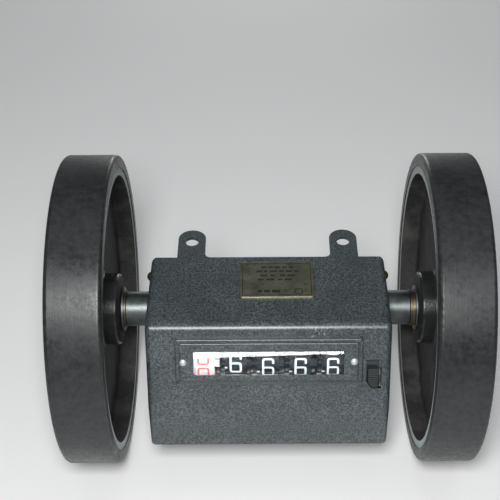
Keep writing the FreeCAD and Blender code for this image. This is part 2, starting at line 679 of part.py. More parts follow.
def carry_lug(x):
    """Disc with a lug that turns the transfer pinion once a revolution."""
    disc = cylinder(LUG_DISC_R, x, x + LUG_DISC_WIDTH, NUMBER_AXIS)
    hub = cylinder(NUMBER_HUB_R, x - 1, x + LUG_DISC_WIDTH, NUMBER_AXIS)
    arm = Part.makeBox(
        LUG_DISC_WIDTH, CARRY_LUG_R, CARRY_LUG_WIDTH, V(x, 0, -CARRY_LUG_WIDTH / 2)
    )
    arm.rotate(V(0, 0, 0), V(1, 0, 0), math.degrees(WINDOW_NORMAL) + CARRY_LUG_TURN)
    arm.translate(V(0, *NUMBER_AXIS))
    return disc.fuse([hub, arm])


def shaft_collar():
    start = WHEEL_CENTRES_X[-1] + NUMBER_WHEEL_WIDTH / 2 + 0.3
    return tube(COLLAR_R, NUMBER_SHAFT_R, start, start + COLLAR_LENGTH, NUMBER_AXIS)


def pinion_shaft():
    return cylinder(PINION_SHAFT_R, -FRAME_OUTER_X, FRAME_OUTER_X, PINION_AXIS)


def pinion(index):
    """Transfer pinion in the gap to the right of a number wheel."""
    gap = WHEEL_CENTRES_X[index] + NUMBER_WHEEL_WIDTH / 2
    start, step, end = PINION_GAPS
    to_wheel, _ = direction(PINION_AXIS, NUMBER_AXIS)
    teeth = gear(
        PINION_TEETH, CARRY_MODULE, gap + step, gap + end, PINION_AXIS,
        to_wheel + math.pi / PINION_TEETH, CARRY_ADDENDUM, CARRY_THINNING,
    )
    hub = cylinder(PINION_HUB_R, gap + start, gap + step, PINION_AXIS)
    bore = cylinder(PINION_SHAFT_R + RUNNING, gap - 1, gap + end + 1, PINION_AXIS)
    return teeth.fuse(hub).cut(bore)


def pinion_spacers():
    """Tubes on the pinion shaft that keep the pinions in their gaps."""
    start, _, end = PINION_GAPS
    gaps = [x + NUMBER_WHEEL_WIDTH / 2 for x in WHEEL_CENTRES_X[:-1]]
    starts = [-FRAME_INNER_X] + [gap + end + 0.1 for gap in gaps]
    ends = [gap + start - 0.1 for gap in gaps] + [FRAME_INNER_X]
    return Part.makeCompound([
        tube(PINION_SPACER_R, PINION_SHAFT_R, x0, x1, PINION_AXIS) for x0, x1 in zip(starts, ends)
    ])


# ---- Reset lever ----
def sector(inner, outer, start, end, x0, x1):
    """Part of a ring about the lever's axis, between two angles from the window normal."""
    a0 = WINDOW_NORMAL + math.radians(start)
    a1 = WINDOW_NORMAL + math.radians(end)

    def point(radius, angle):
        y, z = polar(LEVER_AXIS, radius, angle)
        return V(x0, y, z)

    edges = [
        Part.LineSegment(point(inner, a0), point(outer, a0)).toShape(),
        Part.Arc(point(outer, a0), point(outer, (a0 + a1) / 2), point(outer, a1)).toShape(),
        Part.LineSegment(point(outer, a1), point(inner, a1)).toShape(),
        Part.Arc(point(inner, a1), point(inner, (a0 + a1) / 2), point(inner, a0)).toShape(),
    ]
    return Part.Face(Part.Wire(edges)).extrude(V(x1 - x0, 0, 0))


def reset_lever():
    """Thumb lever: hub, arm, a curved shield behind the slot and the ribbed thumb piece."""
    x0, x1 = LEVER_X
    shield_r = LEVER_R - WALL - 0.3
    shield = sector(shield_r - SHIELD_T, shield_r, -16.0, 23.0, x0, x1)
    arm = Part.makeBox(x1 - x0, shield_r - 0.5, LEVER_ARM, V(x0, 0, -LEVER_ARM / 2))
    arm.rotate(V(0, 0, 0), V(1, 0, 0), math.degrees(WINDOW_NORMAL))
    arm.translate(V(0, *LEVER_AXIS))
    hub = cylinder(LEVER_HUB_R, x0, x1, LEVER_AXIS)
    pad = sector(shield_r - 0.5, LEVER_R + THUMB_LIFT, -12.0, 15.0, x0, x1)
    ribs = [
        sector(shield_r - 0.4, LEVER_R + RIB_LIFT, angle, angle + THUMB_RIB_ANGLE / 2, x0, x1)
        for angle in [THUMB_RIB_ANGLE * i - 6.0 for i in range(10)]
    ]
    thumb = pad.fuse(ribs).common(through_window_face(THUMB_OUTLINE, 2 * WALL))
    body = hub.fuse([arm, shield, thumb])
    return body.cut(cylinder(LEVER_PIN_R + RUNNING, x0 - 1, x1 + 1, LEVER_AXIS)).removeSplitter()


def reset_bail():
    """Bar beside the number wheels with a finger at each gap, carried by a crank plate."""
    x0, x1 = BAIL_X
    hub = cylinder(BAIL_HUB_R, x0, LEVER_X[0], LEVER_AXIS)
    angle, length = direction(LEVER_AXIS, BAIL_AXIS)
    crank = Part.makeBox(x1 - x0, length, CRANK_WIDTH, V(x0, 0, -CRANK_WIDTH / 2))
    crank.rotate(V(0, 0, 0), V(1, 0, 0), math.degrees(angle))
    crank.translate(V(0, *LEVER_AXIS))
    tip = cylinder(CRANK_WIDTH / 2, x0, x1, BAIL_AXIS)
    first_gap = WHEEL_CENTRES_X[0] + NUMBER_WHEEL_WIDTH / 2
    bar = cylinder(BAIL_R, first_gap - 1.0, x1, BAIL_AXIS)
    towards, reach = direction(BAIL_AXIS, NUMBER_AXIS)
    width, height = BAIL_FINGER
    pieces = [crank, tip, bar]
    for centre in WHEEL_CENTRES_X:
        start = centre + NUMBER_WHEEL_WIDTH / 2 + 0.3
        finger = Part.makeBox(width, reach - BAIL_FINGER_R, height, V(start, 0, -height / 2))
        finger.rotate(V(0, 0, 0), V(1, 0, 0), math.degrees(towards))
        finger.translate(V(0, *BAIL_AXIS))
        pieces.append(finger)
    bore = cylinder(LEVER_PIN_R + RUNNING, x0 - 1, LEVER_X[0] + 1, LEVER_AXIS)
    return hub.fuse(pieces).cut(bore).removeSplitter()


def lever_pin():
    return cylinder(LEVER_PIN_R, BAIL_X[0] - 1.0, FRAME_OUTER_X, LEVER_AXIS)


def lever_clip():
    return tube(LEVER_CLIP_R, LEVER_PIN_R, BAIL_X[0] - 0.2 - CLIP_T, BAIL_X[0] - 0.2, LEVER_AXIS)


def lever_spring():
    """Torsion spring round the bail's hub, its turns as rings; the long leg bears on the number shaft."""
    radius = BAIL_HUB_R + 0.3 + SPRING_WIRE_R
    pitch = 2.0 * SPRING_WIRE_R + 0.05
    start_x = BAIL_X[1] + 0.15 + SPRING_WIRE_R
    to_shaft, span = direction(LEVER_AXIS, NUMBER_AXIS)
    lean = math.asin((radius + NUMBER_SHAFT_R + SPRING_LEG_R + 0.05) / span)
    legs = {
        0: (to_shaft - lean, span * math.cos(lean) + 1.0),
        SPRING_TURNS - 1: (to_shaft - lean - math.pi / 2, SPRING_SHORT_LEG),
    }
    turns = []
    for i in range(SPRING_TURNS):
        centre = V(start_x + i * pitch, *LEVER_AXIS)
        ring = Part.makeTorus(radius, SPRING_WIRE_R, centre, V(1, 0, 0))
        if i in legs:
            angle, length = legs[i]
            start = polar(LEVER_AXIS, radius, angle + math.pi / 2)
            along = V(0, math.cos(angle), math.sin(angle))
            ring = ring.fuse(Part.makeCylinder(SPRING_LEG_R, length, V(centre.x, *start), along))
        turns.append(ring)
    return Part.makeCompound(turns)


# ---- Every node ----
def pair(name, shape):
    """A right-hand piece and its mirror image."""
    return {name + "_right": shape, name + "_left": mirrored(shape)}


def rolling_nodes():
    """Everything that turns with the axle."""
    nodes = {
        "axle": axle(),
        "wheel_washers": Part.makeCompound([wheel_washer(), mirrored(wheel_washer())]),
        "wheel_nuts": Part.makeCompound([wheel_nut(), mirrored(wheel_nut())]),
        "thrust_washer_right": thrust_washer(THRUST_WASHER_RIGHT_X),
        "thrust_washer_left": thrust_washer(THRUST_WASHER_LEFT_X),
        "brass_shim": brass_shim(),
        "drive_gear": drive_gear(),
        "drive_gear_screw": drive_gear_screw(),
    }
    nodes.update(pair("wheel", wheel()))
    nodes.update(pair("tyre", tyre()))
    return nodes


def housing_nodes():
    """The housing, the frame in it and all that they carry."""
    nodes = {
        "housing_cover": housing_cover(),
        "rear_cover": rear_cover(),
        "rear_cover_screws": rear_cover_screws(),
        "cover_blocks": cover_blocks(),
        "side_screws": side_screws(),
        "window_bezel": window_bezel(),
        "window_glass": window_glass(),
        "bezel_rivets": bezel_rivets(),
        "nameplate": nameplate(),
        "frame_plate_left": frame_plate(-1),
        "frame_plate_right": frame_plate(1),
        "frame_spacers": frame_spacers(),
        "idler_gear": idler_gear(),
        "idler_pin": idler_pin(),
        "idler_clip": idler_clip(),
        "idler_washer": idler_washer(),
        "count_gear": count_gear(),
        "number_shaft": number_shaft(),
        "shaft_collar": shaft_collar(),
        "pinion_shaft": pinion_shaft(),
        "pinion_spacers": pinion_spacers(),
        "reset_lever": reset_lever(),
        "reset_bail": reset_bail(),
        "lever_pin": lever_pin(),
        "lever_clip": lever_clip(),
        "lever_spring": lever_spring(),
    }
    nodes.update(pair("bearing_sleeve", bearing_sleeve()))
    nodes.update(pair("axle_bush", bush()))
    for index in range(NUMBER_WHEELS):
        nodes["number_wheel_%d" % (index + 1)] = number_wheel(index)
    for index in range(NUMBER_WHEELS - 1):
        nodes["transfer_pinion_%d" % (index + 1)] = pinion(index)
    for shape in nodes.values():
        shape.translate(V(END_FLOAT, 0, 0))
    return nodes


def build():
    nodes = rolling_nodes()
    nodes.update(housing_nodes())
    return nodes


def write(nodes):
    os.makedirs("parts", exist_ok=True)
    for name, shape in nodes.items():
        shape.exportStep("parts/%s.step" % name)
        facts = (name, len(shape.Solids), shape.isValid(), shape.Volume)
        print("%-20s solids %d valid %s volume %.1f" % facts)


write(build())
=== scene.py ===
import json
import math

import bpy
from mathutils import Matrix, Vector

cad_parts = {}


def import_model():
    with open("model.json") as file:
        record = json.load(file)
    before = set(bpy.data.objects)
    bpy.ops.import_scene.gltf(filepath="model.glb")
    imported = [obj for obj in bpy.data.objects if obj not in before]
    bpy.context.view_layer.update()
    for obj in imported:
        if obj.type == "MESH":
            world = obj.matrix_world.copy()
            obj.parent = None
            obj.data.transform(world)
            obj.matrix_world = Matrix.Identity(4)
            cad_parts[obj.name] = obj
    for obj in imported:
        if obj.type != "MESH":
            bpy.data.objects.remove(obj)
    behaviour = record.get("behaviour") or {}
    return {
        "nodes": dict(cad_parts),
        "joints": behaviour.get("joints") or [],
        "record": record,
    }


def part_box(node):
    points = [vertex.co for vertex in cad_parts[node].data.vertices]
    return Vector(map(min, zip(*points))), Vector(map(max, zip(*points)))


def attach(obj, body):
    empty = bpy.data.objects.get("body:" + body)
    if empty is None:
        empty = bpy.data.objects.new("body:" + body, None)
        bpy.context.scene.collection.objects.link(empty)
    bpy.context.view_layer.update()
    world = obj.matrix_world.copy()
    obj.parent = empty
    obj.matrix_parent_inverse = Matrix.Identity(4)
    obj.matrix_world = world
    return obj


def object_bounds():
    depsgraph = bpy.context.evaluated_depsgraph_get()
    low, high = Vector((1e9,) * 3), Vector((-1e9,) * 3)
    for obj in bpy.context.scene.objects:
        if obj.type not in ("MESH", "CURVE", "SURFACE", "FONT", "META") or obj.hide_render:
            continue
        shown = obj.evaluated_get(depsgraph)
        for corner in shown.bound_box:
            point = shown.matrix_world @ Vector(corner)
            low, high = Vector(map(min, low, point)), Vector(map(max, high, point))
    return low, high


# Looks for a roller length counter.  Metres; +X along the axle, +Z up, the window looks towards -Y.

MM = 0.001

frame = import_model()
NODES = frame["nodes"]
JOINTS = {joint["name"]: joint for joint in frame["joints"]}
CAD_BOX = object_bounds()


def window_face():
    """A point on the housing's window face, where the pane lies, and its outward direction."""
    mesh = NODES["window_glass"].data
    back = max(mesh.polygons, key=lambda p: (round(p.area / MM ** 2), p.normal.y))
    return back.center.copy(), -back.normal


WINDOW_PLACE, WINDOW_NORMAL = window_face()
HUB_FACE_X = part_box("wheel_right")[0].x
LEVER_AXIS = JOINTS["reset_lever_press"]["pos_m"][1:]

# radii that the finishes follow: the open inside of the rims, the hubs, and the thumb piece's ribs
RIM_INSIDE = 46.0 * MM
HUB_RADIUS = 12.3 * MM
HUB_FILLET = 1.3 * MM
THUMB_RIB_FOOT, THUMB_RIB_TOP = 22.3 * MM, 23.0 * MM
# brass nearer to the middle than this is inside the housing, where it gets painted shade
HOUSING_INSIDE = 37 * MM
# where the paint is chipped, and how far the painted shade in the lever's slot reaches in depth and
# height
CHIPS_X = 13.6 * MM, 17.6 * MM
CHIPS_Z = 11.4 * MM, 14.6 * MM
SLOT_DEPTH = 0.2 * MM, 2.4 * MM
SLOT_Z = -7.0 * MM, 6.0 * MM


# ---- Materials ----
# a Mix node's sockets for colours; the ones before them are for numbers and vectors
COLOUR_A, COLOUR_B, COLOUR_OUT = 6, 7, 2


class Surface:
    """A Principled material whose patterns are laid out in the part's own metres."""

    def __init__(self, name, roughness, metallic=0.0, colour=(0.5, 0.5, 0.5), **constants):
        self.material = bpy.data.materials.new(name)
        self.material.use_nodes = True
        self.tree = self.material.node_tree
        self.shader = self.tree.nodes["Principled BSDF"]
        self.place = self.node("ShaderNodeTexCoord").outputs["Object"]
        self.set("Base Color", (*colour, 1.0))
        self.set("Roughness", roughness)
        self.set("Metallic", metallic)
        for socket, value in constants.items():
            self.set(socket.replace("_", " "), value)

    def node(self, kind, **settings):
        made = self.tree.nodes.new(kind)
        for key, value in settings.items():
            setattr(made, key, value)
        return made

    def set(self, socket, value):
        """A number is kept on the socket; an output is linked to it."""
        self.feed(self.shader.inputs[socket], value)

    def feed(self, socket, value):
        if isinstance(value, bpy.types.NodeSocket):
            self.tree.links.new(value, socket)
        else:
            socket.default_value = value

    def math(self, operation, a, b=0.0):
        made = self.node("ShaderNodeMath", operation=operation)
        self.feed(made.inputs[0], a)
        self.feed(made.inputs[1], b)
        return made.outputs[0]

    def axis(self, letter):
        split = self.node("ShaderNodeSeparateXYZ")
        self.feed(split.inputs[0], self.place)
        return split.outputs[letter]

    def radius(self, y=0.0, z=0.0):
        """Distance from a line along X, by default the axle."""
        across_y = self.math("SUBTRACT", self.axis("Y"), y)
        across_z = self.math("SUBTRACT", self.axis("Z"), z)
        squares = self.math("ADD", self.math("POWER", across_y, 2.0), self.math("POWER", across_z, 2.0))
        return self.math("SQRT", squares)

    def behind_window_face(self):
        """Distance behind the housing's window face."""
        made = self.node("ShaderNodeVectorMath", operation="DOT_PRODUCT")
        self.feed(made.inputs[0], self.place)
        made.inputs[1].default_value = -WINDOW_NORMAL
        return self.math("ADD", made.outputs["Value"], WINDOW_NORMAL.dot(WINDOW_PLACE))

    def stretched(self, stretch):
        """The part's own metres, scaled along each axis; a small number draws a pattern out."""
        made = self.node("ShaderNodeVectorMath", operation="MULTIPLY")
        self.feed(made.inputs[0], self.place)
        made.inputs[1].default_value = stretch
        return made.outputs[0]

    def noise(self, size, detail=2.0, roughness=0.5, stretch=None):
        """Noise with features of about the given size."""
        made = self.node("ShaderNodeTexNoise")
        self.feed(made.inputs["Vector"], self.stretched(stretch) if stretch else self.place)
        made.inputs["Scale"].default_value = 1.0 / size
        made.inputs["Detail"].default_value = detail
        made.inputs["Roughness"].default_value = roughness
        return made.outputs["Fac"]

    def cells(self, size, smooth=0.6):
        """Soft round cells, as in hammer enamel."""
        made = self.node("ShaderNodeTexVoronoi", feature="SMOOTH_F1")
        self.feed(made.inputs["Vector"], self.place)
        made.inputs["Scale"].default_value = 1.0 / size
        made.inputs["Smoothness"].default_value = smooth
        return made.outputs["Distance"]

    def spread(self, value, low, high, to_low=0.0, to_high=1.0):
        """The range from low to high, mapped to another range and held at its ends."""
        made = self.node("ShaderNodeMapRange")
        self.feed(made.inputs["Value"], value)
        limits = {"From Min": low, "From Max": high, "To Min": to_low, "To Max": to_high}
        for socket, number in limits.items():
            made.inputs[socket].default_value = number
        return made.outputs["Result"]

    def between(self, value, low, high, soft):
        """1 where value lies between low and high, and 0 outside, with soft edges."""
        rise = self.spread(value, low - soft, low + soft)
        return self.math("MULTIPLY", rise, self.spread(value, high - soft, high + soft, 1.0, 0.0))

    def mix(self, factor, a, b):
        made = self.node("ShaderNodeMix", data_type="RGBA")
        self.feed(made.inputs["Factor"], factor)
        for index, value in ((COLOUR_A, a), (COLOUR_B, b)):
            linked = isinstance(value, bpy.types.NodeSocket)
            self.feed(made.inputs[index], value if linked else (*value, 1.0))
        return made.outputs[COLOUR_OUT]

    def bump(self, height, depth):
        """Relief of the given depth, on top of any relief already there."""
        made = self.node("ShaderNodeBump")
        made.inputs["Strength"].default_value = 1.0
        made.inputs["Distance"].default_value = depth
        self.feed(made.inputs["Height"], height)
        normal = self.shader.inputs["Normal"]
        if normal.is_linked:
            self.feed(made.inputs["Normal"], normal.links[0].from_socket)
        self.feed(normal, made.outputs["Normal"])


def hammer_enamel(name, dark, light, chips_and_slot_shade=False):
    """Grey-green stoved enamel with a fine hammered grain; on the housing also chipped spots by the ridge
    and painted shade in the lever's slot.
    """
    coat = {"Coat_Weight": 0.8, "Coat_Roughness": 0.36}
    paint = Surface(name, roughness=0.4, Specular_IOR_Level=0.25, **coat)
    grain = paint.noise(0.6 * MM, detail=3.0, roughness=0.65)
    cells = paint.cells(1.1 * MM)
    cloud = paint.noise(14 * MM, detail=2.0)
    colour = paint.mix(paint.spread(grain, 0.42, 0.60), dark, light)
    colour = paint.mix(paint.spread(cloud, 0.35, 0.7, 0.0, 0.35), colour, tuple(0.75 * c for c in dark))
    if chips_and_slot_shade:
        colour = paint.mix(edge_chips(paint), colour, (0.34, 0.37, 0.37))
        # painted shade: the walls of the lever's slot are darkened to near black
        colour = paint.mix(painted_shade_in_slot(paint), colour, (0.004, 0.005, 0.005))
    paint.set("Base Color", colour)
    paint.set("Roughness", paint.spread(grain, 0.3, 0.7, 0.32, 0.44))
    paint.bump(cells, 0.04 * MM)
    paint.bump(grain, 0.03 * MM)
    return paint.material


def edge_chips(paint):
    """Small chipped spots in the paint beside the ridge, above the window."""
    along = paint.between(paint.axis("X"), *CHIPS_X, 0.9 * MM)
    near_ridge = paint.between(paint.axis("Z"), *CHIPS_Z, 0.5 * MM)
    spots = paint.spread(paint.noise(1.3 * MM, detail=1.0), 0.60, 0.68)
    return paint.math("MULTIPLY", paint.math("MULTIPLY", along, near_ridge), spots)


def painted_shade_in_slot(paint):
    """Where painted shade darkens the walls of the lever's slot to near black, from just behind the
    window face inwards.
    """
    low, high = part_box("reset_lever")
    behind = paint.between(paint.behind_window_face(), *SLOT_DEPTH, 0.1 * MM)
    along = paint.between(paint.axis("X"), low.x - 0.6 * MM, high.x + 1.0 * MM, 0.1 * MM)
    up_slope = paint.between(paint.axis("Z"), *SLOT_Z, 0.2 * MM)
    return paint.math("MULTIPLY", paint.math("MULTIPLY", behind, along), up_slope)


def tread_rubber(name):
    """Smooth ground rubber: fine rings from grinding, soft mottling and a little dust."""
    rubber = Surface(name, roughness=0.45, Specular_IOR_Level=0.5)
    rings = rubber.noise(0.35 * MM, detail=3.0, stretch=(1.0, 0.02, 0.02))
    mottle = rubber.noise(2.2 * MM, detail=4.0, roughness=0.65)
    scuffs = rubber.noise(1.4 * MM, detail=5.0, roughness=0.7)
    dust = rubber.noise(18 * MM, detail=4.0, roughness=0.6)
    colour = rubber.mix(rubber.spread(mottle, 0.3, 0.7), (0.004, 0.005, 0.006), (0.018, 0.020, 0.021))
    colour = rubber.mix(rubber.spread(dust, 0.5, 0.75, 0.0, 0.35), colour, (0.034, 0.036, 0.036))
    rubber.set("Base Color", colour)
    smear = rubber.math("MULTIPLY", rubber.spread(scuffs, 0.36, 0.64), 0.16)
    rubber.set("Roughness", rubber.math("ADD", rubber.spread(dust, 0.35, 0.7, 0.28, 0.42), smear))
    rubber.bump(rings, 0.012 * MM)
    rubber.bump(mottle, 0.03 * MM)
    return rubber.material


def cast_wheel(name):
    """Dark sand casting with a machined face on the rim and a smoother hub."""
    cast = Surface(name, roughness=0.55, Specular_IOR_Level=0.3)
    radius = cast.radius()
    machined = cast.spread(radius, RIM_INSIDE + 0.12 * MM, RIM_INSIDE + 0.22 * MM)
    hub = cast.spread(radius, HUB_RADIUS, HUB_RADIUS + HUB_FILLET, 1.0, 0.0)
    sand = cast.noise(0.6 * MM, detail=4.0, roughness=0.7)
    stain = cast.noise(9 * MM, detail=3.0)
    rust = cast.spread(cast.noise(3 * MM, detail=4.0), 0.58, 0.72)
    hub_rust = cast.math("MULTIPLY", cast.math("MULTIPLY", rust, hub), 0.5)
    colour = cast.mix(cast.spread(sand, 0.3, 0.7), (0.010, 0.010, 0.010), (0.034, 0.034, 0.033))
    colour = cast.mix(cast.spread(stain, 0.45, 0.68, 0.0, 0.7), colour, (0.070, 0.070, 0.066))
    colour = cast.mix(cast.math("MULTIPLY", hub, 0.85), colour, (0.010, 0.012, 0.012))
    colour = cast.mix(hub_rust, colour, (0.040, 0.030, 0.022))
    turned = cast.mix(cast.spread(sand, 0.35, 0.65), (0.36, 0.41, 0.41), (0.50, 0.55, 0.55))
    cast.set("Base Color", cast.mix(machined, colour, turned))
    from_middle = cast.math("ABSOLUTE", cast.axis("X"))
    past_face = cast.spread(from_middle, HUB_FACE_X + 0.1 * MM, HUB_FACE_X + 0.3 * MM)
    polish = cast.math("MULTIPLY", cast.math("MULTIPLY", hub, past_face), 0.46)
    cast.set("Roughness", cast.math("SUBTRACT", cast.spread(stain, 0.3, 0.7, 0.64, 0.76), polish))
    unmachined = cast.spread(radius, RIM_INSIDE + 0.1 * MM, RIM_INSIDE + 0.2 * MM, 1.0, 0.08)
    cast.bump(cast.math("MULTIPLY", sand, unmachined), 0.09 * MM)
    return cast.material


def metal(name, dark, light, roughness, turned=True, stain=0.0, shade_inside=False):
    """Bare or plated metal; turned parts carry fine rings, and some parts get painted shade, darkened to
    near black inside the housing.
    """
    bare = Surface(name, roughness=roughness, metallic=1.0)
    patches = bare.noise(5 * MM, detail=4.0, roughness=0.6)
    fine = bare.noise(0.25 * MM, detail=2.0)
    colour = bare.mix(bare.spread(patches, 0.3, 0.7), dark, light)
    if stain:
        spots = bare.spread(bare.noise(1.6 * MM, detail=4.0), 0.55, 0.72, 0.0, stain)
        colour = bare.mix(spots, colour, tuple(0.35 * c for c in dark))
    # painted shade: inside the housing the metal is darkened to near black
    if shade_inside:
        inside = bare.between(bare.axis("X"), -HOUSING_INSIDE, HOUSING_INSIDE, 0.2 * MM)
        colour = bare.mix(inside, colour, (0.030, 0.028, 0.024))
    bare.set("Base Color", colour)
    bare.set("Roughness", bare.spread(patches, 0.3, 0.7, roughness - 0.07, roughness + 0.09))
    if turned:
        bare.bump(bare.noise(0.18 * MM, detail=2.0, stretch=(1.0, 0.02, 0.02)), 0.006 * MM)
    bare.bump(fine, 0.004 * MM)
    return bare.material


def moulded(name, dark, light, roughness, grain=0.02):
    """Moulded plastic with a slightly uneven surface."""
    plastic = Surface(name, roughness=roughness)
    uneven = plastic.noise(1.4 * MM, detail=3.0)
    plastic.set("Base Color", plastic.mix(plastic.spread(uneven, 0.3, 0.7), dark, light))
    plastic.set("Roughness", plastic.spread(uneven, 0.3, 0.7, roughness - 0.05, roughness + 0.08))
    plastic.bump(uneven, grain * MM)
    return plastic.material


def worn_thumb(name):
    """Dark plastic whose rib tops are rubbed to a dull olive."""
    plastic = Surface(name, roughness=0.5)
    uneven = plastic.noise(0.9 * MM, detail=3.0)
    proud = plastic.spread(plastic.radius(*LEVER_AXIS), THUMB_RIB_FOOT, THUMB_RIB_TOP)
    rubbed = plastic.math("MULTIPLY", proud, plastic.spread(uneven, 0.3, 0.55, 0.4, 1.0))
    base = plastic.mix(plastic.spread(uneven, 0.3, 0.7), (0.014, 0.018, 0.019), (0.027, 0.033, 0.034))
    plastic.set("Base Color", plastic.mix(rubbed, base, (0.026, 0.031, 0.029)))
    plastic.set("Roughness", plastic.spread(uneven, 0.3, 0.7, 0.42, 0.58))
    plastic.bump(uneven, 0.015 * MM)
    return plastic.material


def pane(name):
    """Clear flat glass with the faintest green and a few specks of dust."""
    glass = Surface(name, roughness=0.0, colour=(0.93, 0.97, 0.96), Transmission_Weight=1.0, IOR=1.5)
    specks = glass.spread(glass.noise(0.7 * MM, detail=4.0), 0.62, 0.8, 0.0, 0.18)
    glass.set("Roughness", specks)
    return glass.material


def ink(name, colour, thin):
    """Printed or filled marks, a little uneven in cover."""
    marks = Surface(name, roughness=0.4)
    cover = marks.noise(0.5 * MM, detail=3.0)
    marks.set("Base Color", marks.mix(marks.spread(cover, 0.3, 0.55), thin, colour))
    marks.bump(cover, 0.006 * MM)
    return marks.material


ENAMEL_DARK = (0.011, 0.017, 0.019)

FINISH = {
    "housing_paint": hammer_enamel("housing_enamel", ENAMEL_DARK, (0.088, 0.106, 0.112), chips_and_slot_shade=True),
    "plate_paint": hammer_enamel("cover_enamel", ENAMEL_DARK, (0.086, 0.104, 0.110)),
    "zinc_steel": metal("zinc_plate", (0.56, 0.57, 0.58), (0.72, 0.72, 0.71), 0.62, stain=0.25),
    "dark_steel": metal("oiled_steel", (0.085, 0.098, 0.096), (0.150, 0.166, 0.164), 0.42, stain=0.4),
    "bright_steel": metal("ground_steel", (0.52, 0.52, 0.53), (0.66, 0.66, 0.66), 0.22, stain=0.3),
    # the brass gets painted shade inside the housing
    "brass": metal("turned_brass", (0.28, 0.19, 0.075), (0.44, 0.31, 0.13), 0.42, stain=0.5, shade_inside=True),
    "bronze": metal("bush_bronze", (0.105, 0.088, 0.060), (0.180, 0.148, 0.098), 0.42, stain=0.5),
    "rubber": tread_rubber("ground_rubber"),
    "wheel_paint": cast_wheel("cast_wheel"),
    "glass": pane("window_pane"),
    "nameplate_brass": metal(
        "plate_brass", (0.24, 0.23, 0.145), (0.36, 0.345, 0.225), 0.36, turned=False, stain=0.4
    ),
    "white_plastic": moulded("white_figure_wheel", (0.56, 0.50, 0.485), (0.64, 0.58, 0.565), 0.34, 0.008),
    "black_plastic": moulded(
        "black_figure_wheel", (0.004, 0.006, 0.009), (0.010, 0.013, 0.018), 0.36, 0.008
    ),
    "grey_plastic": moulded("grey_acetal", (0.10, 0.11, 0.12), (0.15, 0.16, 0.17), 0.40),
    "dark_plastic": worn_thumb("thumb_plastic"),
}

for part in frame["record"]["subparts"]:
    obj = NODES[part["node"]]
    obj.data.materials.clear()
    obj.data.materials.append(FINISH[part["material_slot"]])
NODES["window_glass"].visible_shadow = False


# ---- Small pieces built as meshes ----
def mesh_object(name, vertices, faces, material, body):
    mesh = bpy.data.meshes.new(name)
    mesh.from_pydata(vertices, [], faces)
    mesh.validate()
    mesh.update()
    made = bpy.data.objects.new(name, mesh)
    bpy.context.scene.collection.objects.link(made)
    made.data.materials.append(material)
    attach(made, body)


def rounded(points, radius, closed=False, steps=5):
    """The same route with its corners rounded off; radius is how far each curve reaches."""
    count = len(points)
    route = []
    for i, point in enumerate(points):
        here = Vector(point)
        if not closed and i in (0, count - 1):
            route.append(here)
            continue
        before, after = Vector(points[i - 1]), Vector(points[(i + 1) % count])
        reach = min(radius, (before - here).length / 2, (after - here).length / 2)
        start = here + (before - here).normalized() * reach
        end = here + (after - here).normalized() * reach
        for k in range(steps + 1):
            t = k / steps
            route.append((1 - t) ** 2 * start + 2 * t * (1 - t) * here + t * t * end)
    return route


SAME_PLACE = 1e-7


def filled_in(route, closed, longest):
    """Extra points, so that no step is longer than given, and none that stand on the one before."""
    dense = []
    ends = route[1:] + route[:1] if closed else route[1:]
    for a, b in zip(route, ends):
        parts = max(1, math.ceil((b - a).length / longest))
        dense += [a.lerp(b, k / parts) for k in range(parts)]
    if not closed:
        dense.append(route[-1])
    return [p for i, p in enumerate(dense) if i == 0 or (p - dense[i - 1]).length > SAME_PLACE]


# strokes take turns at slightly different heights, so that tops that cross don't lie in one plane
HEIGHTS = 3
HEIGHT_STEP = 0.06


class Strokes:
    """Flat strokes of one width, collected as rows of points across each stroke."""

    def __init__(self):
        self.rows = []

    def add(self, points, width, closed=False, corner=0.0, longest=0.3 * MM):
        """A stroke along the points; a closed one joins its last point to its first."""
        route = rounded(points, corner, closed) if corner else [Vector(p) for p in points]
        route = filled_in(route, closed, longest)
        count = len(route)
        rows = []
        for i, here in enumerate(route):
            before = route[i - 1] if closed or i else here
            after = route[(i + 1) % count] if closed or i < count - 1 else here
            along = (after - before).normalized()
            side = Vector((-along.y, along.x)) * width / 2
            rows.append([here - side, here + side])
        self.rows.append((rows, closed))

    def mesh(self, lay, height):
        """Vertices and faces; lay turns a flat point and a height into a place."""
        vertices, faces = [], []
        for order, (rows, closed) in enumerate(self.rows):
            top = height * (1 + HEIGHT_STEP * (order % HEIGHTS))
            first = len(vertices)
            for low, high in rows:
                vertices += [lay(low, -height), lay(low, top), lay(high, top), lay(high, -height)]
            count = len(rows)
            for i in range(count if closed else count - 1):
                a, b = first + 4 * i, first + 4 * ((i + 1) % count)
                faces += [(a + k, a + k + 1, b + k + 1, b + k) for k in range(3)]
            if not closed:
                last = first + 4 * (count - 1)
                faces += [(first, first + 1, first + 2, first + 3), (last + 3, last + 2, last + 1, last)]
        return vertices, faces


# ---- Figures on the number wheels ----
FIGURE_WIDTH = 3.3 * MM
FIGURE_STROKE = 0.66 * MM
FIGURE_CORNER = 0.8 * MM
# angles that the lower and the upper half of a figure take up, and from one figure to the next
LOWER = math.radians(13.8)
UPPER = math.radians(14.8)
STEP = math.radians(36.0)
MARK_LENGTH, MARK_WIDTH = 0.9 * MM, 0.5 * MM
RAISED = 0.03 * MM
# points this close to the largest radius are on the rim
RIM_TOLERANCE = 0.05 * MM
# where the middle bar of each wheel's 9 stands, in degrees from +Y towards +Z
NINE_AT = [149.8, 163.5, 171.0, 171.0, 171.0]

